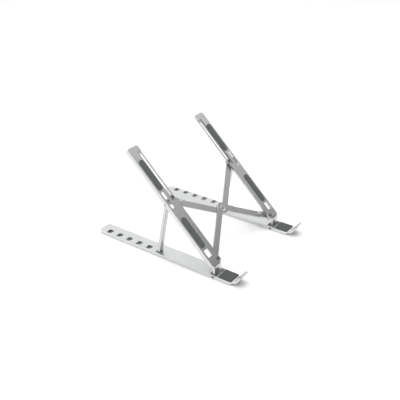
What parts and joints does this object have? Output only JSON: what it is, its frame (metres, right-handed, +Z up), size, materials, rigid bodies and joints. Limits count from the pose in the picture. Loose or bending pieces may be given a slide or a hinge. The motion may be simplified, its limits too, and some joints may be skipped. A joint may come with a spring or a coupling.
{
  "type": "folding laptop stand",
  "caption": "Folding aluminium laptop stand: two slotted base bars, two tilted upper bars with pads, support legs and crossed links that close it side to side.",
  "frame": {"origin": "under the middle of the stand's outline, on the surface it stands on", "axes": "+X to the right-hand bar, +Y from the hooks to the back, +Z up"},
  "size_m": [0.1812, 0.2532, 0.1555],
  "materials": {
    "base_metal": "satin silver anodised",
    "bar_metal": "satin silver anodised",
    "leg_metal": "satin silver anodised",
    "link_metal": "satin silver anodised",
    "pad_rubber": "matt dark grey silicone",
    "foot_rubber": "matt dark grey silicone",
    "rivet_steel": "darkened steel",
    "pin_steel": "plain steel"
  },
  "bodies": {
    "base_left": {"base_bar_left": "base_metal", "hook_pad_left": "pad_rubber", "lip_pad_left": "pad_rubber", "front_foot_left": "foot_rubber", "rear_foot_left": "foot_rubber", "hinge_pin_left": "pin_steel", "hinge_washers_left": "pin_steel"},
    "upper_left": {"upper_bar_left": "bar_metal", "upper_pad_left": "pad_rubber", "lower_pad_left": "pad_rubber", "leg_bracket_left": "leg_metal", "bracket_rivet_left": "rivet_steel", "leg_pin_left": "pin_steel", "front_rivet_left": "rivet_steel", "front_washer_left": "pin_steel"},
    "leg_left": {"support_leg_left": "leg_metal"},
    "base_right": {"base_bar_right": "base_metal", "hook_pad_right": "pad_rubber", "lip_pad_right": "pad_rubber", "front_foot_right": "foot_rubber", "rear_foot_right": "foot_rubber", "hinge_pin_right": "pin_steel", "hinge_washers_right": "pin_steel"},
    "upper_right": {"upper_bar_right": "bar_metal", "upper_pad_right": "pad_rubber", "lower_pad_right": "pad_rubber", "leg_bracket_right": "leg_metal", "bracket_rivet_right": "rivet_steel", "leg_pin_right": "pin_steel", "front_rivet_right": "rivet_steel", "front_washer_right": "pin_steel"},
    "leg_right": {"support_leg_right": "leg_metal"},
    "top_link": {"link_upper": "link_metal", "slider_rivet_right": "rivet_steel", "slider_washer_right": "pin_steel", "centre_rivet": "rivet_steel", "centre_washer": "pin_steel"},
    "under_link": {"link_lower": "link_metal", "slider_rivet_left": "rivet_steel", "slider_washer_left": "pin_steel"}
  },
  "joints": [
    {"name": "tilt_left", "type": "hinge", "parent": "base_left", "child": "upper_left", "pos_m": [-0.07875, -0.08336, 0.0026], "axis": [1, 0, 0], "range_deg": [0, 45]},
    {"name": "leg_swing_left", "type": "hinge", "parent": "upper_left", "child": "leg_left", "pos_m": [-0.08375, -0.00266, 0.0879], "axis": [1, 0, 0], "range_deg": [0, 122.8]},
    {"name": "side_fold", "type": "hinge", "parent": "upper_left", "child": "top_link", "pos_m": [-0.07215, -0.07717, 0.0194], "axis": [0, -0.6896, 0.7242], "range_deg": [0, 50.41]},
    {"name": "link_cross", "type": "hinge", "parent": "top_link", "child": "under_link", "pos_m": [0, -0.03922, 0.05553], "axis": [0, -0.6896, 0.7242], "range_deg": [-100.84, 0]},
    {"name": "under_link_pivot", "type": "hinge", "parent": "under_link", "child": "upper_right", "pos_m": [0.07215, -0.07717, 0.0194], "axis": [0, -0.6896, 0.7242], "range_deg": [0, 50.42]},
    {"name": "leg_swing_right", "type": "hinge", "parent": "upper_right", "child": "leg_right", "pos_m": [0.08375, -0.00266, 0.0879], "axis": [1, 0, 0], "range_deg": [0, 122.8]},
    {"name": "tilt_right", "type": "hinge", "parent": "upper_right", "child": "base_right", "pos_m": [0.07875, -0.08336, 0.0026], "axis": [1, 0, 0], "range_deg": [-45.01, 0]}
  ],
  "couplings": [
    {"joint": "link_cross", "follows": "side_fold", "ratio": -2},
    {"joint": "under_link_pivot", "follows": "side_fold", "ratio": 1},
    {"joint": "tilt_right", "follows": "tilt_left", "ratio": -1}
  ]
}
